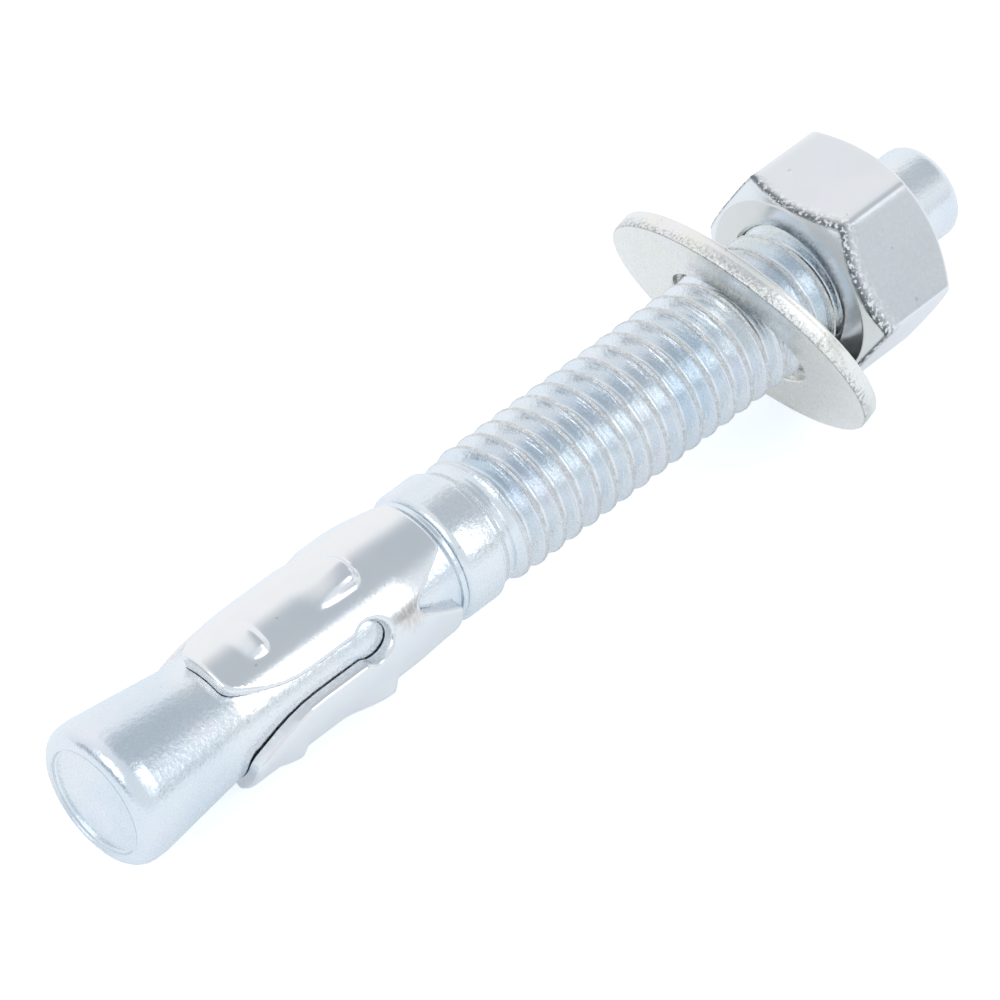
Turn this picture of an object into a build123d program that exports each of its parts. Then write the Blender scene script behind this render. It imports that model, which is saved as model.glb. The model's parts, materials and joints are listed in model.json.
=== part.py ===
from build123d import *
import os
from math import acos, asin, atan2, cos, degrees, hypot, radians, sin, tan

os.makedirs("parts", exist_ok=True)

# Wedge anchor for concrete: a plated steel stud with a cone end, a rolled expansion clip
# on its neck, a flat washer and a hexagon nut. Sizes are in millimetres and degrees.
# Each piece is drawn upright round the stud's axis, with the cone end's face at height 0.
# Local +X is the side that faces the ground once the anchor lies down.

# Stud blank
stud_length = 76.2
cone_end_dia = 10.1
cone_end_land = 0.8
cone_end_edge_radius = 1.2
cone_half_angle = 7.0
end_rim_flat = 0.05
end_recess_depth = 0.35
end_recess_radius = 0.15
neck_dia = 8.2
neck_root_radius = 0.14
collar_length = 3.1
collar_dia = 9.5
collar_front_radius = 0.6
collar_rear_radius = 0.12
collar_ring_step = 0.3
collar_ring_length = 0.35
collar_ring_radius = 0.1
shank_dia = 8.6
shank_length = 0.728
dog_dia = 6.85
dog_length = 4.0
dog_edge_radius = 0.9

# Rolled right-hand thread of 16 turns to the inch. Crests and roots are cut back from the
# sharp triangle by an eighth and a sixth of its height.
thread_dia = 9.42
pitch = 25.4 / 16
thread_flank_angle = 30.0
crest_cut = 1 / 8
root_cut = 1 / 6

# Nut, placed from the dog point, and its clearances round the stud's thread
nut_to_dog = 1.65
nut_height = 7.95
nut_across_flats = 14.0
nut_face_inset = 0.35
nut_chamfer_angle = 30.0
nut_mouth_play = 0.24
nut_corner_radius = 0.3
thread_axial_clearance = 0.1
thread_crest_clearance = 0.1
thread_root_clearance = 0.25

# Washer, placed from the nut
washer_to_nut = 4.27
washer_dia = 20.9
washer_hole_play = 0.74
washer_thickness = 1.4
washer_rim_radius = 0.2
washer_hole_radius = 0.2
washer_hole_clearance = 0.05

# Expansion clip, rolled from one stamped sheet. Its wings' ends ride on the cone.
clip_length = 18.1
clip_thickness = 0.8
clip_neck_play = 0.2
clip_cone_clearance = 0.15
clip_collar_gap = 0.72
clip_front_radius = 0.3
clip_rear_radius = 0.45
clip_wings = 3
first_slot_angle = -114.1
keyhole_from_front = 10.6
keyhole_dia = 2.9
slot_throat_width = 2.1
slot_throat_from_front = 6.4
slot_corner_offset = 2.6
slot_corner_setback = 0.7
slot_corner_width = 3.65
slot_blend_radius = 0.8
notch_apex_depth = 3.7
notch_mouth_width = 5.0
notch_floor_radius = 0.7
notch_corner_radius = 0.7
seam_gap = 0.4
seam_slot = 1
front_bump_from_front = 4.0
front_bump_height = 0.36
front_bump_sphere_radius = 2.4
rear_bump_from_front = 11.0
rear_bump_height = 0.66
rear_bump_sphere_radius = 2.9

# Working allowances: how far cutting shapes reach past what they cut, and how much of a
# straight run the roundings at its ends may take up
crest_overrun = 0.08
stock_overrun = 4.0
rounding_share = 0.98

# Cone and clip: the clip's bore sets where its front meets the cone
cone_taper = tan(radians(cone_half_angle))
end_recess_dia = cone_end_dia - 2 * (cone_end_edge_radius + end_rim_flat)
end_land_top = cone_end_edge_radius + cone_end_land
cone_top = end_land_top + (cone_end_dia - neck_dia) / 2 / cone_taper
clip_inner_radius = neck_dia / 2 + clip_neck_play
clip_outer_radius = clip_inner_radius + clip_thickness
clip_front = end_land_top + (cone_end_dia / 2 - clip_inner_radius + clip_cone_clearance) / cone_taper
clip_rear = clip_front + clip_length
wing_angle = 360 / clip_wings

# Collar, shank and thread follow one another along the stud
collar_front = clip_rear + clip_collar_gap
collar_rear = collar_front + collar_length
collar_ring_dia = neck_dia + 2 * collar_ring_step
thread_bevel = (thread_dia - shank_dia) / 2
flank = tan(radians(thread_flank_angle))
sharp_height = pitch / 2 / flank
thread_root_dia = thread_dia - 2 * sharp_height * (1 - crest_cut - root_cut)
root_flat = pitch * root_cut
crest_flat = pitch * crest_cut
groove_start = collar_rear + shank_length + thread_bevel + (pitch - crest_flat) / 2
dog_start = stud_length - dog_length

# Nut and washer follow the thread
nut_rear = dog_start - nut_to_dog
nut_front = nut_rear - nut_height
nut_bore_dia = thread_root_dia + 2 * thread_root_clearance
nut_mouth_dia = thread_dia + 2 * nut_mouth_play
washer_station = nut_front - washer_to_nut
washer_hole_dia = thread_dia + 2 * washer_hole_play

# The washer leans until its hole's edges meet the thread on both sides
hole_diagonal = hypot(washer_hole_dia, washer_thickness)
washer_lean = degrees(
    acos((thread_dia + 2 * washer_hole_clearance) / hole_diagonal)
    - atan2(washer_thickness, washer_hole_dia)
)


def rounded(corners):
    """Closed outline of straight runs. A corner's third value is its rounding."""
    sketch = make_face(Polyline([corner[:2] for corner in corners], close=True))
    for index, corner in enumerate(corners):
        if len(corner) == 3:
            neighbours = corners[index - 1], corners[(index + 1) % len(corners)]
            vertex = sketch.vertices().sort_by_distance((corner[0], corner[1], 0))[0]
            sketch = fillet(vertex, fitting_radius(corner, *neighbours))
    return sketch


def fitting_radius(corner, before, after):
    """A corner's rounding, or the largest that its two straight runs have room for."""
    runs = [Vector(*end[:2]) - Vector(*corner[:2]) for end in (before, after)]
    rooms = [
        run.length * rounding_share / (2 if len(end) == 3 else 1)
        for run, end in zip(runs, (before, after))
    ]
    half_opening = radians(runs[0].get_angle(runs[1]) / 2)
    return min(corner[2], min(rooms) * tan(half_opening))


def turned(corners):
    """Solid of revolution about the stud's axis, from corners of radius and height."""
    return revolve(Plane.XZ * rounded(corners), Axis.Z, 360)


def helix_band(inner_dia, inner_width, outer_dia, outer_width, start, length):
    """Trapezoid section carried along the thread's helix, from local +X at the start."""
    inner, outer = inner_dia / 2, outer_dia / 2
    section = Plane.XZ * make_face(
        Polyline(
            (inner, start - inner_width / 2),
            (outer, start - outer_width / 2),
            (outer, start + outer_width / 2),
            (inner, start + inner_width / 2),
            close=True,
        )
    )
    path = Pos(0, 0, start) * Helix(pitch, length, (inner + outer) / 2)
    return sweep(section, path=path, is_frenet=True)


# Stud: recessed end face, cone, neck, collar, shank, thread and dog point.
# The bar is threaded past its end, then the dog point is turned down.
def make_stud():
    neck_top = collar_front - collar_ring_length
    thread_lead_in = collar_rear + shank_length
    bar_end = stud_length + stock_overrun
    bar = turned([
        (0, end_recess_depth),
        (end_recess_dia / 2, end_recess_depth, end_recess_radius),
        (end_recess_dia / 2, 0),
        (cone_end_dia / 2, 0, cone_end_edge_radius),
        (cone_end_dia / 2, end_land_top),
        (neck_dia / 2, cone_top),
        (neck_dia / 2, neck_top, neck_root_radius),
        (collar_ring_dia / 2, neck_top, collar_ring_radius),
        (collar_ring_dia / 2, collar_front),
        (collar_dia / 2, collar_front, collar_front_radius),
        (collar_dia / 2, collar_rear, collar_rear_radius),
        (shank_dia / 2, collar_rear, collar_rear_radius),
        (shank_dia / 2, thread_lead_in),
        (thread_dia / 2, thread_lead_in + thread_bevel),
        (thread_dia / 2, bar_end),
        (0, bar_end),
    ])
    groove = helix_band(
        thread_root_dia,
        root_flat,
        thread_dia + 2 * crest_overrun,
        pitch - crest_flat + 2 * crest_overrun * flank,
        groove_start,
        stud_length - groove_start,
    )
    return bar - groove - dog_point_waste()


def dog_point_waste():
    """Metal turned away round and past the dog point, with the bevel that ends the thread."""
    outer = thread_dia / 2 + stock_overrun
    past_end = stud_length + 2 * stock_overrun
    return turned([
        (dog_dia / 2, dog_start),
        (outer, dog_start - (outer - dog_dia / 2)),
        (outer, past_end),
        (0, past_end),
        (0, stud_length),
        (dog_dia / 2, stud_length, dog_edge_radius),
    ])


# Expansion clip: rolled sleeve with keyhole slots between its wings, notches at its rear
# edge, a seam where the rolled ends meet, and two pressed bumps on each wing
def clip_side(angle):
    """Plane through the stud's axis that looks outwards at one side of the clip."""
    side = (cos(radians(angle)), sin(radians(angle)), 0)
    return Plane(origin=(0, 0, 0), x_dir=(-side[1], side[0], 0), z_dir=side)


def keyhole_slot():
    """Slot outline between two wings: round back end, throat and flared mouth."""
    half = slot_throat_width / 2
    centre = clip_front + keyhole_from_front
    flare_start = clip_front + slot_throat_from_front
    corner = clip_front + slot_corner_setback
    past_front = clip_front - slot_corner_width
    throat = Line((half, centre), (half, flare_start))
    flare = TangentArc(throat @ 1, (slot_corner_offset, corner), tangent=throat % 1)
    round_corner = TangentArc(flare @ 1, (slot_corner_width, clip_front), tangent=flare % 1)
    outside = Polyline(
        round_corner @ 1, (slot_corner_width, past_front), (0, past_front), (0, centre), (half, centre)
    )
    right = make_face([throat, flare, round_corner, outside])
    slot = right + mirror(right, about=Plane.YZ) + Pos(0, centre) * Circle(keyhole_dia / 2)
    throat_corners = slot.vertices().filter_by(lambda point: flare_start < point.Y < centre)
    return fillet(throat_corners, slot_blend_radius)


def rear_notch():
    """Rounded V notch in the clip's rear edge."""
    half_mouth = notch_mouth_width / 2
    past_mouth = half_mouth + 2 * notch_corner_radius
    past_rear = clip_rear + notch_apex_depth
    return rounded([
        (-past_mouth, past_rear),
        (-past_mouth, clip_rear),
        (-half_mouth, clip_rear, notch_corner_radius),
        (0, clip_rear - notch_apex_depth, notch_floor_radius),
        (half_mouth, clip_rear, notch_corner_radius),
        (past_mouth, clip_rear),
        (past_mouth, past_rear),
    ])


def make_clip():
    sleeve = turned([
        (clip_inner_radius, clip_front),
        (clip_outer_radius, clip_front, clip_front_radius),
        (clip_outer_radius, clip_rear, clip_rear_radius),
        (clip_inner_radius, clip_rear),
    ])
    clip = with_bumps(sleeve)
    reach = clip_outer_radius + rear_bump_height + stock_overrun
    for slot in range(clip_wings):
        slot_side = clip_side(first_slot_angle + slot * wing_angle)
        clip -= extrude(slot_side * keyhole_slot(), reach)
        clip -= extrude(slot_side * rear_notch(), reach)
        if slot == seam_slot:
            seam_front = clip_front + keyhole_from_front
            seam = Pos(0, (seam_front + clip_rear) / 2) * Rectangle(seam_gap, clip_rear - seam_front)
            clip -= extrude(slot_side * seam, reach)
    return clip


def with_bumps(clip):
    """Two bumps pressed outwards in the middle of each wing, as deep inside as outside."""
    core = Pos(0, 0, clip_front) * Cylinder(
        clip_inner_radius, clip_length, align=(Align.CENTER, Align.CENTER, Align.MIN)
    )
    for wing in range(clip_wings):
        wing_side = clip_side(first_slot_angle + (wing - 0.5) * wing_angle)
        for from_front, height, sphere_radius in (
            (front_bump_from_front, front_bump_height, front_bump_sphere_radius),
            (rear_bump_from_front, rear_bump_height, rear_bump_sphere_radius),
        ):
            middle = clip_outer_radius + height - sphere_radius
            place = wing_side * Pos(0, clip_front + from_front, middle)
            clip += place * Sphere(sphere_radius) - core
            clip -= place * Sphere(sphere_radius - clip_thickness)
    return clip


# Washer: punched flat ring with rounded edges, leaning on the thread
def make_washer():
    half = washer_thickness / 2
    hole = washer_hole_dia / 2
    rim = washer_dia / 2
    ring = turned([
        (hole, -half, washer_hole_radius),
        (rim, -half, washer_rim_radius),
        (rim, half, washer_rim_radius),
        (hole, half, washer_hole_radius),
    ])
    return Pos(0, 0, washer_station) * Rot(0, -washer_lean, 0) * ring


# Nut: chamfered hexagon with a threaded bore that matches the stud's thread
def make_nut():
    stock_front = nut_front - stock_overrun
    stock_length = nut_height + 2 * stock_overrun
    hexagon = RegularPolygon(nut_across_flats / 2, 6, major_radius=False, rotation=30)
    hexagon = fillet(hexagon.vertices(), nut_corner_radius)
    stock = extrude(Pos(0, 0, stock_front) * hexagon, stock_length)
    stock -= Pos(0, 0, stock_front) * Cylinder(
        nut_bore_dia / 2, stock_length, align=(Align.CENTER, Align.CENTER, Align.MIN)
    )
    return (stock - nut_groove()) & nut_envelope()


def nut_groove():
    """Groove of the nut's thread: the stud's ridge with clearance on every side."""
    first_turn = (nut_front - stock_overrun - groove_start) // pitch + 1
    ridge_at_crest = crest_flat + 2 * thread_axial_clearance
    inner_dia = nut_bore_dia - 2 * crest_overrun
    return helix_band(
        inner_dia,
        ridge_at_crest + (thread_dia - inner_dia) * flank,
        thread_dia + 2 * thread_crest_clearance,
        ridge_at_crest - 2 * thread_crest_clearance * flank,
        groove_start + (first_turn + 0.5) * pitch,
        nut_height + stock_overrun,
    )


def nut_envelope():
    """End faces, countersunk mouths and domed chamfers that trim the threaded hexagon."""
    face_radius = nut_across_flats / 2 - nut_face_inset
    dome_radius = face_radius / sin(radians(nut_chamfer_angle))
    dome_depth = face_radius / tan(radians(nut_chamfer_angle))
    envelope = turned([
        (0, nut_front + nut_mouth_dia / 2),
        (nut_mouth_dia / 2, nut_front),
        (nut_across_flats, nut_front),
        (nut_across_flats, nut_rear),
        (nut_mouth_dia / 2, nut_rear),
        (0, nut_rear - nut_mouth_dia / 2),
    ])
    for dome_middle in (nut_front + dome_depth, nut_rear - dome_depth):
        envelope &= Pos(0, 0, dome_middle) * Sphere(dome_radius)
    return envelope


# The anchor rests on the cone end's rounded edge and on the washer's rim. The slope of
# its axis is that of the line tangent to both rounded edges.
def rest_slope():
    lean = radians(washer_lean)
    rim_out = washer_dia / 2 - washer_rim_radius
    rim_forward = washer_thickness / 2 - washer_rim_radius
    rim_height = washer_station + rim_out * sin(lean) - rim_forward * cos(lean)
    rim_down = rim_out * cos(lean) + rim_forward * sin(lean)
    along = rim_height - cone_end_edge_radius
    down = rim_down - (cone_end_dia / 2 - cone_end_edge_radius)
    edge_turn = asin((washer_rim_radius - cone_end_edge_radius) / hypot(along, down))
    return degrees(atan2(down, along) + edge_turn)


pieces = {
    "stud": make_stud(),
    "expansion_clip": make_clip(),
    "washer": make_washer(),
    "hex_nut": make_nut(),
}

# Lay the anchor down with its nut end raised, and put the origin under its middle
laid = {name: Rot(0, 90 - rest_slope(), 0) * piece for name, piece in pieces.items()}
bounds = Compound(children=[Compound(piece.solids()) for piece in laid.values()]).bounding_box()
origin = Pos(-bounds.center().X, -bounds.center().Y, -bounds.min.Z)
for name, piece in laid.items():
    export_step(origin * piece, f"parts/{name}.step")
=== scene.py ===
import json
from math import acos, atan2, cos, exp, hypot, log, pi, radians, sin, sqrt, tan

import bmesh
import bpy
from mathutils import Matrix, Quaternion, Vector, noise


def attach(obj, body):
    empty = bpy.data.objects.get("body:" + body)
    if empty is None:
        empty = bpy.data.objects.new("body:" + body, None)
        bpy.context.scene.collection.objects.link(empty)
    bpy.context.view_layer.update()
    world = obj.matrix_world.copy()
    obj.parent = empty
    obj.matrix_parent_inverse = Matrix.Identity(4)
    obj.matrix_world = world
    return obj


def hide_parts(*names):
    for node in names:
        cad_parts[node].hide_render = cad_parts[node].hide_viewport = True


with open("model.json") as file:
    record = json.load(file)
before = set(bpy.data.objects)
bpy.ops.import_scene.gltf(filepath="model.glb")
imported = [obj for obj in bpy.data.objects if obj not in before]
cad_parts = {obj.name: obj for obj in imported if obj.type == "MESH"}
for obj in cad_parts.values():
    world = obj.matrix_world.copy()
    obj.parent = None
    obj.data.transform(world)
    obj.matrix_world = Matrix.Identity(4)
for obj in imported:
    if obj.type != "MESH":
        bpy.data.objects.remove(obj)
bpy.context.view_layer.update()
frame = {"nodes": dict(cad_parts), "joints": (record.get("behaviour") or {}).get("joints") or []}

# Stud: one bar of bright zinc-plated steel. The cone end, neck and collar are formed and
# turned, the thread is rolled into the bar, and the dog point is turned down last.
# It is drawn upright in millimetres, cone end down, and laid on the axis that the clip turns on.
clip_turn = next(joint for joint in frame["joints"] if joint["name"] == "clip_turn")
axis = Vector(clip_turn["axis"]).normalized()
ground_side = Vector((axis.z, 0, -axis.x))
axis_point = Vector(clip_turn["pos_m"])
cone_end = min(vertex.co.dot(axis) for vertex in frame["nodes"]["stud"].data.vertices)
seat = (
    Matrix.Translation(axis_point + axis * (cone_end - axis_point.dot(axis)))
    @ Matrix((ground_side, axis.cross(ground_side), axis)).transposed().to_4x4()
    @ Matrix.Scale(0.001, 4)
)

stud_length = 76.2
cone_end_radius = 5.05
cone_land_top = 2.0
cone_edge_rounding = 1.2
cone_slope = tan(radians(7))
cone_land_rounding = 1.5
recess_radius = 3.8
recess_depth = 0.35
neck_radius = 4.1
neck_rounding = 3.0
neck_step = 0.3
neck_step_length = 0.35
collar_front = 28.15
collar_rear = 31.25
collar_radius = 4.75
collar_rounding = 0.6
shank_radius = 4.3
thread_foot = 31.978
shank_end = thread_foot - 0.3
thread_radius = 4.71
root_radius = 3.736
pitch = 25.4 / 16
crest_half = pitch / 16
first_crest = 33.083 + pitch / 2
stud_turns = 27
dog_radius = 3.425
dog_start = 72.2
dog_rounding = 0.9
thread_end = dog_start - 0.02
dog_foot = dog_start + 0.1
crumb_height = 0.028
turn_steps = 96
crease_angle = radians(35)
weld_reach = 0.0005


def rounded(corners, segments=5):
    """Outline through corners of two coordinates, where a third value is a rounding."""
    points = []
    for index, corner in enumerate(corners):
        here = Vector(corner[:2])
        if len(corner) == 2:
            points.append(here)
            continue
        before = (Vector(corners[index - 1][:2]) - here).normalized()
        after = (Vector(corners[(index + 1) % len(corners)][:2]) - here).normalized()
        half = before.angle(after) / 2
        centre = here + (before + after).normalized() * corner[2] / sin(half)
        start = here + before * corner[2] / tan(half) - centre
        finish = here + after * corner[2] / tan(half) - centre
        turn = start.angle(finish)
        for step in range(segments + 1):
            share = step / segments
            arm = start * sin((1 - share) * turn) + finish * sin(share * turn)
            points.append(centre + arm / sin(turn))
    return points


def turned(metal, outline, steps=turn_steps):
    """Spins an outline of radius and height once round the upright axis."""
    corners = [metal.verts.new((radius, 0, height)) for radius, height in outline]
    edges = [metal.edges.new(pair) for pair in zip(corners, corners[1:])]
    bmesh.ops.spin(
        metal, geom=corners + edges, axis=(0, 0, 1), angle=2 * pi, steps=steps, use_merge=True
    )


def repeated(metal, drawn, times, turn=0.0, rise=0.0):
    """Copies a drawn stretch, each copy turned in degrees and raised past the one before."""
    for copy in range(1, times):
        made = bmesh.ops.duplicate(metal, geom=drawn)["geom"]
        lift = Matrix.Translation((0, 0, rise * copy))
        bmesh.ops.transform(
            metal,
            matrix=lift @ Matrix.Rotation(radians(turn * copy), 4, "Z"),
            verts=[part for part in made if isinstance(part, bmesh.types.BMVert)],
        )


def rolled(metal, outline, height, turns):
    """Carries a one-pitch outline up its right-hand helix, turn by turn, and welds the turns."""
    corners = [metal.verts.new((radius, 0, height + rise)) for radius, rise in outline]
    edges = [metal.edges.new(pair) for pair in zip(corners, corners[1:])]
    bmesh.ops.spin(
        metal, geom=corners + edges, axis=(0, 0, 1), angle=2 * pi, steps=turn_steps,
        dvec=(0, 0, pitch / turn_steps),
    )
    repeated(metal, metal.verts[:] + metal.edges[:] + metal.faces[:], turns, rise=pitch)
    bmesh.ops.remove_doubles(metal, verts=metal.verts[:], dist=0.002)


def cut_level(metal, height, keep_above):
    """Cuts an upright shape level and keeps one side, which it leaves open."""
    bmesh.ops.bisect_plane(
        metal, geom=metal.verts[:] + metal.edges[:] + metal.faces[:], dist=weld_reach,
        plane_co=(0, 0, height), plane_no=(0, 0, 1),
        clear_inner=keep_above, clear_outer=not keep_above,
    )


def level_ring(metal, height):
    """Open edges that lie at one height."""
    return [
        edge for edge in metal.edges
        if edge.is_boundary and all(abs(vertex.co.z - height) < 0.001 for vertex in edge.verts)
    ]


def piece(metal, name, node, finish):
    """Lays a drawn piece on the anchor's axis, shades it and puts it in its node's place."""
    bmesh.ops.remove_doubles(metal, verts=metal.verts[:], dist=weld_reach)
    bmesh.ops.recalc_face_normals(metal, faces=metal.faces[:])
    bmesh.ops.transform(metal, matrix=seat, verts=metal.verts[:])
    for face in metal.faces:
        face.smooth = True
    for edge in metal.edges:
        edge.smooth = edge.is_boundary or edge.calc_face_angle(0) < crease_angle
    mesh = bpy.data.meshes.new(name)
    metal.to_mesh(mesh)
    metal.free()
    mesh.materials.append(finish)
    made = bpy.data.objects.new(name, mesh)
    bpy.context.scene.collection.objects.link(made)
    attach(made, node)
    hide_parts(node)


def set_radius(vertex, radius):
    """Moves a drawn point straight in or out to a radius."""
    share = radius / hypot(vertex.co.x, vertex.co.y)
    vertex.co.x *= share
    vertex.co.y *= share


def smooth_step(value):
    """Rises from 0 to 1 with level ends."""
    value = min(max(value, 0), 1)
    return value * value * (3 - 2 * value)


def thread_outline():
    """One pitch of thread from root to root: rounded roots, flanks and a rolled crest."""
    half = pitch / 2
    flank = (thread_radius - root_radius) * tan(radians(30))
    foot = half - crest_half - flank
    middle = (root_radius + thread_radius) / 2
    rising = [
        (root_radius, -half),
        (root_radius, -half + foot * 0.6),
        (root_radius + 0.03, -half + foot),
        (root_radius + 0.12, -half + foot + 0.055),
        (middle, -crest_half - flank / 2),
        (thread_radius - 0.12, -crest_half - 0.07),
        (thread_radius - 0.02, -crest_half),
        (thread_radius, -crest_half * 0.55),
    ]
    falling = [(radius, -rise) for radius, rise in reversed(rising)]
    return rising + [(thread_radius - 0.035, 0)] + falling


def make_stud():
    """Rolls the thread, trims it, and closes it with the turned ends."""
    metal = bmesh.new()
    crest_mask = metal.verts.layers.float.new("crest")
    lay = metal.verts.layers.float_vector.new("lay")
    rolled(metal, thread_outline(), first_crest - 2 * pitch, stud_turns)
    cut_level(metal, thread_foot, True)
    cut_level(metal, thread_end, False)
    for vertex in metal.verts:
        radius = hypot(vertex.co.x, vertex.co.y)
        on_crest = smooth_step((radius - thread_radius + 0.1) / 0.08)
        height = vertex.co.z
        fade = smooth_step((height - thread_foot) / (1.3 * pitch))
        grain = noise.noise(vertex.co * 3.1) + 0.6 * noise.noise(vertex.co * 8.3)
        radius += on_crest * crumb_height * grain
        radius = shank_radius + (radius - shank_radius) * fade
        radius = min(radius, dog_radius + dog_start - height)
        vertex[crest_mask] = on_crest * fade
        set_radius(vertex, radius)
    turned(metal, rounded([
        (0, recess_depth),
        (recess_radius, recess_depth, 0.15),
        (recess_radius, 0, 0.12),
        (cone_end_radius, 0, cone_edge_rounding),
        (cone_end_radius, cone_land_top, cone_land_rounding),
        (neck_radius, cone_land_top + (cone_end_radius - neck_radius) / cone_slope, neck_rounding),
        (neck_radius, collar_front - neck_step_length, 0.1),
        (neck_radius + neck_step, collar_front - neck_step_length, 0.1),
        (neck_radius + neck_step, collar_front, 0.06),
        (collar_radius, collar_front, collar_rounding),
        (collar_radius, collar_rear, 0.14),
        (shank_radius, collar_rear, 0.14),
        (shank_radius, shank_end),
    ]))
    turned(metal, rounded([
        (dog_radius, dog_foot),
        (dog_radius, stud_length, dog_rounding),
        (0, stud_length),
    ]))
    bmesh.ops.remove_doubles(metal, verts=metal.verts[:], dist=weld_reach)
    for first, second in ((thread_foot, shank_end), (thread_end, dog_foot)):
        bmesh.ops.bridge_loops(metal, edges=level_ring(metal, first) + level_ring(metal, second))
    for vertex in metal.verts:
        if thread_foot < vertex.co.z < dog_start:
            turn = atan2(-vertex.co.y, -vertex.co.x)
            radius = hypot(vertex.co.x, vertex.co.y)
            vertex[lay] = (turn * thread_radius, radius, vertex.co.z - pitch * turn / (2 * pi))
    return metal


class Finish:
    """Node-built metal finish that reads the piece's own Object coordinates in millimetres."""

    def __init__(self, name, roughness):
        self.material = bpy.data.materials.new(name)
        self.material.use_nodes = True
        self.tree = self.material.node_tree
        self.shader = self.tree.nodes["Principled BSDF"]
        self.shader.inputs["Metallic"].default_value = 1
        self.shader.inputs["Roughness"].default_value = roughness
        place = self.add("ShaderNodeTexCoord")
        scale = self.add("ShaderNodeMapping")
        scale.inputs["Scale"].default_value = (1000, 1000, 1000)
        self.link(place.outputs["Object"], scale.inputs["Vector"])
        self.place = scale.outputs["Vector"]

    def add(self, kind, **values):
        """Adds a node and sets its properties."""
        node = self.tree.nodes.new(kind)
        for name, value in values.items():
            setattr(node, name, value)
        return node

    def link(self, start, end):
        self.tree.links.new(start, end)

    def noise(self, scale, detail=3.0, stretch=None, place=None):
        """Cloud pattern of a given number of spots in a millimetre."""
        node = self.add("ShaderNodeTexNoise")
        node.inputs["Scale"].default_value = scale
        node.inputs["Detail"].default_value = detail
        start = place or self.place
        if stretch:
            turn = self.add("ShaderNodeMapping")
            turn.inputs["Scale"].default_value = stretch
            self.link(start, turn.inputs["Vector"])
            start = turn.outputs["Vector"]
        self.link(start, node.inputs["Vector"])
        return node.outputs["Fac"]

    def spread(self, value, low, high, start=0.0, finish=1.0):
        """Smoothly maps a value between two limits."""
        node = self.add("ShaderNodeMapRange", interpolation_type="SMOOTHSTEP")
        limits = {"From Min": low, "From Max": high, "To Min": start, "To Max": finish}
        for name, limit in limits.items():
            node.inputs[name].default_value = limit
        self.link(value, node.inputs["Value"])
        return node.outputs["Result"]

    def mask(self, name):
        """Reads a value that the mesh carries at each point."""
        return self.add("ShaderNodeAttribute", attribute_name=name).outputs["Fac"]

    def near(self, point, reach):
        """Rises from 0 at a given reach to 1 at a point, in millimetres."""
        node = self.add("ShaderNodeVectorMath", operation="DISTANCE")
        node.inputs[1].default_value = point
        self.link(self.place, node.inputs[0])
        return self.spread(node.outputs["Value"], 0, reach, 1, 0)

    def joined(self, kind, first, second):
        """Joins two values. The second may be a plain number."""
        node = self.add("ShaderNodeMath", operation=kind)
        self.link(first, node.inputs[0])
        if isinstance(second, float):
            node.inputs[1].default_value = second
        else:
            self.link(second, node.inputs[1])
        return node.outputs["Value"]

    def blend(self, share, first, second):
        """Mixes two colours by a share. Either may be a plain colour."""
        node = self.add("ShaderNodeMix", data_type="RGBA")
        self.link(share, node.inputs[0])
        for socket, value in ((node.inputs[6], first), (node.inputs[7], second)):
            if isinstance(value, tuple):
                socket.default_value = (*value, 1)
            else:
                self.link(value, socket)
        return node.outputs[2]

    def colour(self, value):
        self.link(value, self.shader.inputs["Base Color"])

    def stain(self, share, colour):
        """Lays a plain colour over the ones before it, by a share."""
        before = self.shader.inputs["Base Color"].links[0].from_socket
        self.colour(self.blend(share, before, colour))

    def roughness(self, value):
        self.link(value, self.shader.inputs["Roughness"])

    def relief(self, value, depth, strength=1.0):
        """Adds a bump of a given depth in millimetres over those that came before."""
        node = self.add("ShaderNodeBump")
        node.inputs["Strength"].default_value = strength
        node.inputs["Distance"].default_value = depth / 1000
        self.link(value, node.inputs["Height"])
        normal = self.shader.inputs["Normal"]
        if normal.is_linked:
            self.link(normal.links[0].from_socket, node.inputs["Normal"])
        self.link(node.outputs["Normal"], normal)


def plated(name, clear, tinted, roughness, coarse=1.0):
    """Bright zinc: clouded tints, fine grain in gloss and relief, and a few brown specks."""
    lavender = (0.86, 0.84, 0.92)
    rust = (0.4, 0.32, 0.25)
    finish = Finish(name, roughness)
    finish.colour(finish.blend(finish.spread(finish.noise(0.16, 2), 0.35, 0.7), clear, tinted))
    finish.stain(finish.spread(finish.noise(0.23, 1, (1, 1.3, 0.8)), 0.5, 0.75, 0, 0.35), lavender)
    finish.stain(finish.spread(finish.noise(1.9, 1), 0.73, 0.82, 0, 0.3), rust)
    grain = finish.noise(5.5, 4)
    finish.roughness(
        finish.spread(grain, 0.3, 0.75, roughness - 0.07 * coarse, roughness + 0.1 * coarse)
    )
    finish.relief(grain, 0.012 * coarse, 0.5)
    return finish


def stud_finish():
    """Zinc on the turned and rolled bar: rolling marks along the helix and brownish crests."""
    worn_crest = (0.66, 0.63, 0.6)
    finish = plated("zinc_on_bar", (0.83, 0.87, 0.9), (0.73, 0.81, 0.88), 0.23)
    crest = finish.mask("crest")
    crumbs = finish.noise(6.0, 4)
    broken = finish.spread(finish.noise(2.4, 2), 0.3, 0.65, 0.25, 0.85)
    finish.stain(finish.joined("MULTIPLY", crest, broken), worn_crest)
    finish.relief(finish.joined("MULTIPLY", crumbs, crest), 0.08)
    lay = finish.add("ShaderNodeAttribute", attribute_name="lay").outputs["Vector"]
    finish.relief(finish.noise(1.0, 2, (0.35, 5, 5), lay), 0.03)
    finish.relief(finish.noise(2.4, 3), 0.028)
    return finish.material


piece(make_stud(), "zinc_stud", "stud", stud_finish())

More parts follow.
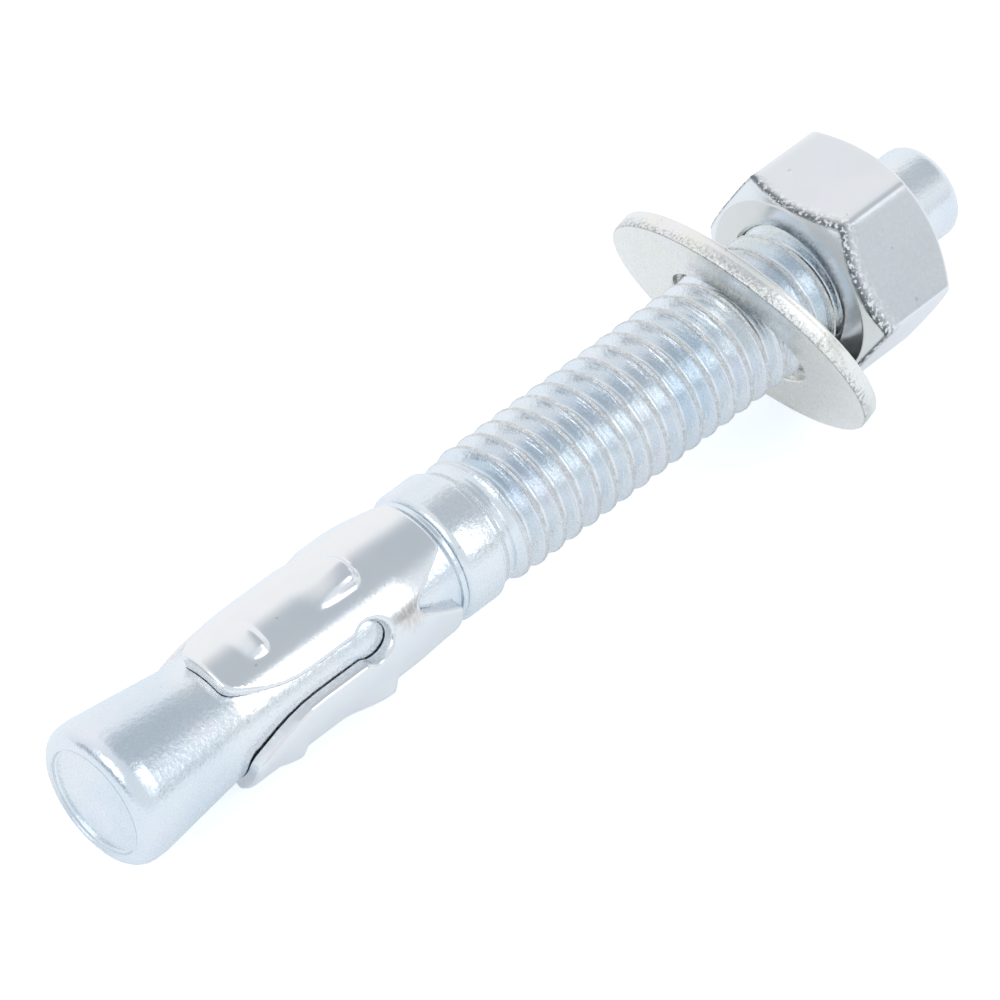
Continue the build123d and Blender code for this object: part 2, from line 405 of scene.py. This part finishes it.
# Expansion clip: a blank stamped from 0.8 mm steel sheet, its outer edges rounded by the
# punch, pressed with two bumps on each wing, rolled round the neck and zinc plated. It is
# drawn a little thicker on the inside, to sit close on the cone as the real one does.
clip_front = 9.33
clip_length = 18.1
clip_rear = clip_front + clip_length
clip_outer = 5.1
sheet_thickness = 0.88
edge_rounding = 0.3
rounding_steps = 4
wing_span = 2 * pi * clip_outer / 3
seam_angle = 5.9
seam_half = 0.2
mouth_half = 3.09
mouth_rounding = 1.3
throat_half = 1.05
throat_front = clip_front + 3.4
throat_rounding = 9.0
keyhole_radius = 1.45
keyhole_height = clip_front + 10.6
keyhole_rounding = 0.6
notch_half = 2.5
notch_floor_half = 0.35
notch_floor = clip_rear - 3.45
seam_rear = notch_floor - 0.05
shoulder_front = 13.8
shoulder_length = 4
shoulder_drop = 0.2
cut_spacing = 0.2
# Each bump's height, slot-side edge, rear edge, sweep of that edge, width, rise and wall.
front_bump = (0.36, 1.75, 4.6, 0.04, 3.9, 2.3, 0.6)
rear_bump = (0.62, 1.8, 12.5, 0.1, 3.8, 4.8, 0.75)


def slot_side():
    """One side of a keyhole slot from its mouth to the top of its round end."""
    junction = keyhole_height - sqrt(keyhole_radius**2 - throat_half**2)
    side = [
        (mouth_half, clip_front, mouth_rounding),
        (throat_half, throat_front, throat_rounding),
        (throat_half, junction, keyhole_rounding),
    ]
    for step in range(9):
        turn = radians(-20 + 13.75 * step)
        side.append((keyhole_radius * cos(turn), keyhole_height + keyhole_radius * sin(turn)))
    return side


def notch_side():
    """One side of the V notch in the rear edge, from its floor to its mouth."""
    return [(notch_floor_half, notch_floor, 0.5), (notch_half, clip_rear, 0.7)]


def clip_outline():
    """Flat blank between the two rolled ends: half a slot, a wing, a slot and so on."""
    def right(side, middle):
        return [(middle + corner[0], *corner[1:]) for corner in side]

    def left(side, middle):
        return [(middle - corner[0], *corner[1:]) for corner in side]

    full = 3 * wing_span
    corners = [(seam_half, keyhole_height + keyhole_radius)]
    corners += right(slot_side(), 0)[-2::-1]
    for middle in (wing_span, 2 * wing_span):
        corners += left(slot_side(), middle) + right(slot_side(), middle)[-2::-1]
    corners += left(slot_side(), full)[:-1]
    corners.append((full - seam_half, keyhole_height + keyhole_radius))
    corners.append((full - seam_half, seam_rear))
    corners += left(notch_side(), full)
    for middle in (2 * wing_span, wing_span):
        corners += right(notch_side(), middle)[::-1] + left(notch_side(), middle)
    corners += right(notch_side(), 0)[::-1]
    corners.append((seam_half, seam_rear))
    return rounded(corners, 4)


def pressed(across, along, width, rise, wall):
    """Height share of a bump that climbs to the rear and ends in steep rear and slot-side walls."""
    lift = min(smooth_step((along + rise) / (rise - wall)), smooth_step(-along / wall))
    side = min(smooth_step((across + width) / (width - wall) / 0.7), smooth_step(-across / wall))
    return lift * side


def clip_height(across, station):
    """How far the sheet stands out from the plain sleeve at a point of the blank."""
    wing = across % wing_span - wing_span / 2
    along = station - clip_front
    height = 0
    for tall, edge, rear, sweep, width, rise, wall in (front_bump, rear_bump):
        height += tall * pressed(wing - edge, along - rear + sweep * wing**2, width, rise, wall)
    return height - shoulder_drop * smooth_step((along - shoulder_front) / shoulder_length)


def cut_finely(metal, direction, start, length):
    """Cuts the flat blank into narrow strips across one direction, 0 or 1."""
    normal = Vector((direction == 0, direction == 1, 0))
    waiting = metal.verts[:] + metal.edges[:] + metal.faces[:]
    for step in range(1, int(length / cut_spacing)):
        level = start + step * cut_spacing
        cut = bmesh.ops.bisect_plane(
            metal, geom=waiting, dist=weld_reach, plane_co=normal * level, plane_no=normal
        )
        waiting = [
            part for part in cut["geom"]
            if isinstance(part, bmesh.types.BMVert) and part.co[direction] > level - 0.001
            or not isinstance(part, bmesh.types.BMVert)
            and max(vertex.co[direction] for vertex in part.verts) > level + 0.001
        ]


def make_clip():
    """Stamps the blank, rounds its outer edge, cuts it finely, presses and rolls it."""
    metal = bmesh.new()
    shear_mask = metal.verts.layers.float.new("shear")
    blank = metal.faces.new([metal.verts.new((*point, 0)) for point in clip_outline()])
    blank.normal_update()
    if blank.normal.z < 0:
        blank.normal_flip()
    made = bmesh.ops.extrude_face_region(metal, geom=[blank])
    for vertex in made["geom"]:
        if isinstance(vertex, bmesh.types.BMVert):
            vertex.co.z = sheet_thickness - edge_rounding
            vertex[shear_mask] = 1
    top = next(face for face in made["geom"] if isinstance(face, bmesh.types.BMFace))
    for step in range(rounding_steps):
        turn = pi / 2 * step / rounding_steps
        next_turn = pi / 2 * (step + 1) / rounding_steps
        bmesh.ops.inset_region(
            metal, faces=[top], use_even_offset=True,
            thickness=edge_rounding * (cos(turn) - cos(next_turn)),
            depth=edge_rounding * (sin(next_turn) - sin(turn)),
        )
        for vertex in top.verts:
            vertex[shear_mask] = 0
    for vertex in metal.verts:
        if vertex.co.z < 0.01:
            vertex[shear_mask] = 1
    cut_finely(metal, 1, clip_front, clip_length)
    cut_finely(metal, 0, 0, 3 * wing_span)
    for vertex in metal.verts:
        across, station, level = vertex.co
        radius = clip_outer - sheet_thickness + level + clip_height(across, station)
        angle = radians(seam_angle) + across / clip_outer
        vertex.co = (radius * cos(angle), radius * sin(angle), station)
    return metal


def clip_finish():
    """Zinc on pressed sheet, with tears on the sheared walls and a brown patch by a notch."""
    brown = (0.6, 0.53, 0.47)
    finish = plated("zinc_on_sheet", (0.86, 0.875, 0.89), (0.8, 0.84, 0.875), 0.16, 0.6)
    tears = finish.noise(3.0, 3, (5, 5, 5))
    finish.relief(finish.joined("MULTIPLY", tears, finish.mask("shear")), 0.05)
    turn = radians(-117)
    side = Vector((cos(turn), sin(turn), 0)) * clip_outer
    patch = seat @ (side + Vector((0, 0, clip_front + 13.7))) * 1000
    streaks = finish.spread(finish.noise(1.6, 3, (3, 1, 1)), 0.35, 0.6, 0, 0.75)
    finish.stain(finish.joined("MULTIPLY", finish.near(patch, 1.9), streaks), brown)
    return finish.material


piece(make_clip(), "rolled_clip", "expansion_clip", clip_finish())

# Washer: a flat ring punched from steel strip and zinc plated with a pale yellow cast. It
# hangs loose on the thread and leans until its hole catches on both sides.
washer_station = 58.33
washer_radius = 10.45
washer_hole = 5.45
washer_thickness = 1.4
washer_steps = 240
rim_rounding = 0.2
torn_depth = 0.45
torn_height = 0.035
thread_play = 0.1
washer_turn = -3.8
washer_lean = acos((2 * thread_radius + thread_play) / hypot(2 * washer_hole, washer_thickness))
washer_lean -= atan2(washer_thickness, 2 * washer_hole)


def make_washer():
    """Turns the punched ring and crumbles the edge where the punch broke through."""
    metal = bmesh.new()
    torn_mask = metal.verts.layers.float.new("torn")
    half = washer_thickness / 2
    ring = rounded([
        (washer_hole, -half, rim_rounding),
        (washer_radius, -half, 0.16),
        (washer_radius, -half + torn_depth),
        (washer_radius - 0.02, half - 0.5),
        (washer_radius - 0.03, half, 0.22),
        (washer_hole, half, rim_rounding),
    ])
    turned(metal, ring + ring[:1], washer_steps)
    for vertex in metal.verts:
        radius = hypot(vertex.co.x, vertex.co.y)
        near_front = smooth_step((-vertex.co.z - half + torn_depth + 0.1) / 0.2)
        torn = near_front * smooth_step((radius - washer_radius + 0.1) / 0.06)
        grain = noise.noise(vertex.co * 2.7) + 0.7 * noise.noise(vertex.co * 6.1)
        vertex[torn_mask] = torn
        set_radius(vertex, radius + torn * torn_height * (grain - 0.3))
    lean = Matrix.Rotation(radians(washer_turn), 4, "Z") @ Matrix.Rotation(-washer_lean, 4, "Y")
    place = Matrix.Translation((0, 0, washer_station)) @ lean
    bmesh.ops.transform(metal, matrix=place, verts=metal.verts[:])
    return metal


def washer_finish():
    """Zinc with a pale yellow cast, matt on its rolled faces and torn at its punched edge."""
    pit = (0.3, 0.31, 0.31)
    finish = plated("zinc_on_strip", (0.88, 0.885, 0.865), (0.84, 0.845, 0.79), 0.22)
    torn = finish.mask("torn")
    finish.relief(finish.joined("MULTIPLY", finish.noise(3.0, 4), torn), 0.25)
    pits = finish.spread(finish.noise(4.0, 2), 0.5, 0.62, 0, 0.6)
    finish.stain(finish.joined("MULTIPLY", pits, torn), pit)
    return finish.material


piece(make_washer(), "zinc_washer", "washer", washer_finish())

# Nut: a hexagon cold-formed in steel, chamfered at both ends and tapped, then zinc plated.
# The metal is rough and dark along the edges of the chamfer that faces the washer.
nut_front = 62.6
nut_height = 7.95
nut_rear = nut_front + nut_height
nut_flat = 7.0
nut_face_radius = 6.65
nut_dome_radius = nut_face_radius / sin(radians(30))
nut_dome_depth = nut_face_radius / tan(radians(30))
nut_mouth_radius = 4.95
tapped_side_room = 0.1
tapped_root_room = 0.25
flank_radius = root_radius + 0.2
nut_turns = 9
nut_side_steps = 48
nut_ring_radii = (nut_mouth_radius + 0.05, 5.3, 5.8, 6.2, 6.45, 6.58)
chamfer_strips = 21
chamfer_strip = 0.055
chamfer_depth = 1.5
side_strips = 13
corner_crowding = 7.5
corner_softness = 0.12
rim_softness = 0.07
rough_length = 4.5
roughest_angle = -110
rough_height = 0.03


def spun_angle(vertex):
    """Angle of a drawn point round the upright axis, in degrees."""
    return atan2(vertex.co.y, vertex.co.x) * 180 / pi


def soft_least(first, second, softness):
    """Smaller of two values, rounded where they are alike."""
    least = min(first, second)
    shares = exp((least - first) / softness) + exp((least - second) / softness)
    return least - softness * log(shares)


def hexagon_radius(angle):
    """Radius of the hexagon with softened corners. Its flats face local +X and so on."""
    turn = angle % 60 - 30
    sides = [nut_flat / cos(radians(turn - side)) for side in (-30, 30)]
    return soft_least(*sides, corner_softness)


def make_nut():
    """Turns a closed ring, shapes it to a domed hexagon and taps its bore."""
    metal = bmesh.new()
    rough_mask = metal.verts.layers.float.new("rough")
    bore = [
        (radius + (tapped_side_room if radius > flank_radius else tapped_root_room), rise)
        for radius, rise in thread_outline()
    ]
    turns_below = int((nut_front - first_crest) / pitch) - 1
    rolled(metal, bore, first_crest + turns_below * pitch, nut_turns)
    cut_level(metal, nut_front, True)
    cut_level(metal, nut_rear, False)
    for vertex in metal.verts:
        radius = hypot(vertex.co.x, vertex.co.y)
        depth = min(vertex.co.z - nut_front, nut_rear - vertex.co.z)
        set_radius(vertex, max(radius, nut_mouth_radius - depth))
    near_end = [chamfer_strip * step for step in range(1, chamfer_strips + 1)]
    side_strip = (nut_height - 2 * chamfer_depth) / side_strips
    heights = near_end + [chamfer_depth + side_strip * step for step in range(side_strips + 1)]
    heights += [nut_height - height for height in reversed(near_end)]
    outline = [(radius, nut_front) for radius in nut_ring_radii]
    outline += [(nut_flat, nut_front + height) for height in [0.0] + heights + [nut_height]]
    outline += [(radius, nut_rear) for radius in reversed(nut_ring_radii)]
    tapped = set(metal.verts)
    corners = [metal.verts.new((radius, 0, height)) for radius, height in outline]
    edges = [metal.edges.new(pair) for pair in zip(corners, corners[1:])]
    bmesh.ops.spin(
        metal, geom=corners + edges, axis=(0, 0, 1), angle=pi / 3, steps=nut_side_steps
    )
    sixth = set(metal.verts) - tapped
    for vertex in list(sixth):
        sixth.update(vertex.link_edges)
        sixth.update(vertex.link_faces)
    repeated(metal, list(sixth), 6, turn=60)
    for vertex in metal.verts:
        if vertex in tapped or hypot(vertex.co.x, vertex.co.y) < nut_flat - 0.01:
            continue
        angle = spun_angle(vertex)
        angle += corner_crowding * sin(radians(6 * angle))
        depth = min(vertex.co.z - nut_front, nut_rear - vertex.co.z)
        dome = sqrt(nut_dome_radius**2 - (nut_dome_depth - depth) ** 2)
        hexagon = hexagon_radius(angle)
        width = 0.12
        if dome > hexagon:
            width = 0.5 + 0.4 * cos(radians(angle - roughest_angle))
        edge = exp(-(((dome - hexagon) / width) ** 2))
        edge *= smooth_step((nut_front + rough_length - vertex.co.z) / 2)
        east, north = cos(radians(angle)), sin(radians(angle))
        place = Vector((nut_flat * east, nut_flat * north, vertex.co.z))
        grain = noise.noise(place * 2.9) + 0.6 * noise.noise(place * 7.3)
        radius = soft_least(hexagon, dome, rim_softness) + edge * rough_height * (grain - 0.2)
        vertex[rough_mask] = edge
        vertex.co.x = radius * east
        vertex.co.y = radius * north
    bmesh.ops.remove_doubles(metal, verts=metal.verts[:], dist=weld_reach)
    for height in (nut_front, nut_rear):
        bmesh.ops.bridge_loops(metal, edges=level_ring(metal, height))
    return metal


def nut_finish():
    """Zinc with rough dark edges round the front chamfer."""
    pit = (0.13, 0.15, 0.16)
    finish = plated("zinc_on_nut", (0.85, 0.87, 0.885), (0.81, 0.84, 0.87), 0.19, 0.3)
    rough = finish.mask("rough")
    finish.relief(finish.joined("MULTIPLY", finish.noise(3.0, 4), rough), 0.3)
    pits = finish.spread(finish.noise(3.5, 3), 0.4, 0.52, 0, 0.95)
    finish.stain(finish.joined("MULTIPLY", pits, rough), pit)
    return finish.material


piece(make_nut(), "zinc_nut", "hex_nut", nut_finish())

# Floor: a pale sheet that keeps the anchor's soft shadow and shows white in the metal.
floor_reach = 0.5
floor_shift = 0.39
floor_finish = Finish("pale_floor", 0.8)
floor_finish.shader.inputs["Metallic"].default_value = 0
floor_finish.shader.inputs["Base Color"].default_value = (0.86, 0.87, 0.88, 1)
floor_finish.shader.inputs["Emission Color"].default_value = (0.9, 0.95, 1, 1)
rays = floor_finish.add("ShaderNodeLightPath")
seen = floor_finish.joined("MULTIPLY", rays.outputs["Is Camera Ray"], 0.55)
glossed = floor_finish.joined("MULTIPLY", rays.outputs["Is Glossy Ray"], 0.2)
glow = floor_finish.joined("ADD", seen, glossed)
floor_finish.link(glow, floor_finish.shader.inputs["Emission Strength"])
sheet = bmesh.new()
bmesh.ops.create_grid(sheet, x_segments=1, y_segments=1, size=floor_reach)
bmesh.ops.translate(sheet, vec=(floor_shift, 0, 0), verts=sheet.verts[:])
floor_mesh = bpy.data.meshes.new("floor")
sheet.to_mesh(floor_mesh)
sheet.free()
floor_mesh.materials.append(floor_finish.material)
floor = bpy.data.objects.new("floor", floor_mesh)
bpy.context.scene.collection.objects.link(floor)


# Studio: a pale tent with grey stretches, and a soft lamp on either side of the anchor.
lamp_distance = 1.2


def bearing(azimuth, elevation):
    """Direction at an azimuth from +Y towards +X and an elevation, in degrees."""
    azimuth, elevation = radians(azimuth), radians(elevation)
    return Vector((sin(azimuth) * cos(elevation), cos(azimuth) * cos(elevation), sin(elevation)))


world = bpy.data.worlds.new("tent")
bpy.context.scene.world = world
world.use_nodes = True
tent = world.node_tree
ray = tent.nodes.new("ShaderNodeTexCoord").outputs["Generated"]
tone = None
tent_tone = (0.82, 0.85, 0.88)
for azimuth, elevation, inner, outer, colour in (
    (40, 25, 35, 95, (0.99, 0.99, 1)),
    (100, 62, 16, 42, (0.55, 0.59, 0.63)),
    (148, 5, 4, 9, (0.56, 0.6, 0.63)),
    (-85, -8, 14, 30, (0.36, 0.4, 0.44)),
    (-53, 2, 6, 13, (0.36, 0.4, 0.44)),
):
    across = tent.nodes.new("ShaderNodeVectorMath")
    across.operation = "DOT_PRODUCT"
    across.inputs[1].default_value = bearing(azimuth, elevation)
    tent.links.new(ray, across.inputs[0])
    patch = tent.nodes.new("ShaderNodeMapRange")
    patch.interpolation_type = "SMOOTHSTEP"
    patch.inputs["From Min"].default_value = cos(radians(outer))
    patch.inputs["From Max"].default_value = cos(radians(inner))
    tent.links.new(across.outputs["Value"], patch.inputs["Value"])
    mix = tent.nodes.new("ShaderNodeMix")
    mix.data_type = "RGBA"
    tent.links.new(patch.outputs["Result"], mix.inputs[0])
    mix.inputs[6].default_value = (*tent_tone, 1)
    mix.inputs[7].default_value = (*colour, 1)
    if tone:
        tent.links.new(tone, mix.inputs[6])
    tone = mix.outputs[2]
path = tent.nodes.new("ShaderNodeLightPath")
white = tent.nodes.new("ShaderNodeMix")
white.data_type = "RGBA"
white.inputs[7].default_value = (1, 1, 1, 1)
tent.links.new(path.outputs["Is Camera Ray"], white.inputs[0])
tent.links.new(tone, white.inputs[6])
tent.links.new(white.outputs[2], tent.nodes["Background"].inputs["Color"])

for name, azimuth, elevation, width, height, watts in (
    ("left_softbox", -90, 28, 0.7, 0.6, 1.8),
    ("right_softbox", 155, 35, 0.25, 0.8, 0.88),
):
    lamp = bpy.data.lights.new(name, "AREA")
    lamp.shape = "RECTANGLE"
    lamp.size = width
    lamp.size_y = height
    lamp.energy = watts
    softbox = bpy.data.objects.new(name, lamp)
    bpy.context.scene.collection.objects.link(softbox)
    softbox.location = bearing(azimuth, elevation) * lamp_distance
    softbox.rotation_euler = bearing(azimuth, elevation).to_track_quat("Z", "Y").to_euler()

# Camera: a long lens that looks down along the anchor from its cone end.
camera_data = bpy.data.cameras.new("camera")
camera_data.sensor_width = 36
camera_data.lens = 216
camera = bpy.data.objects.new("camera", camera_data)
bpy.context.scene.collection.objects.link(camera)
camera.location = (-0.2090535, -0.2047489, 0.2590970)
view = Vector((0.5372789, 0.5328663, -0.6537469))
roll = Quaternion((0, 0, 1), radians(0.128))
camera.rotation_euler = (view.to_track_quat("-Z", "Y") @ roll).to_euler()
bpy.context.scene.camera = camera

bpy.context.scene.view_settings.view_transform = "Standard"
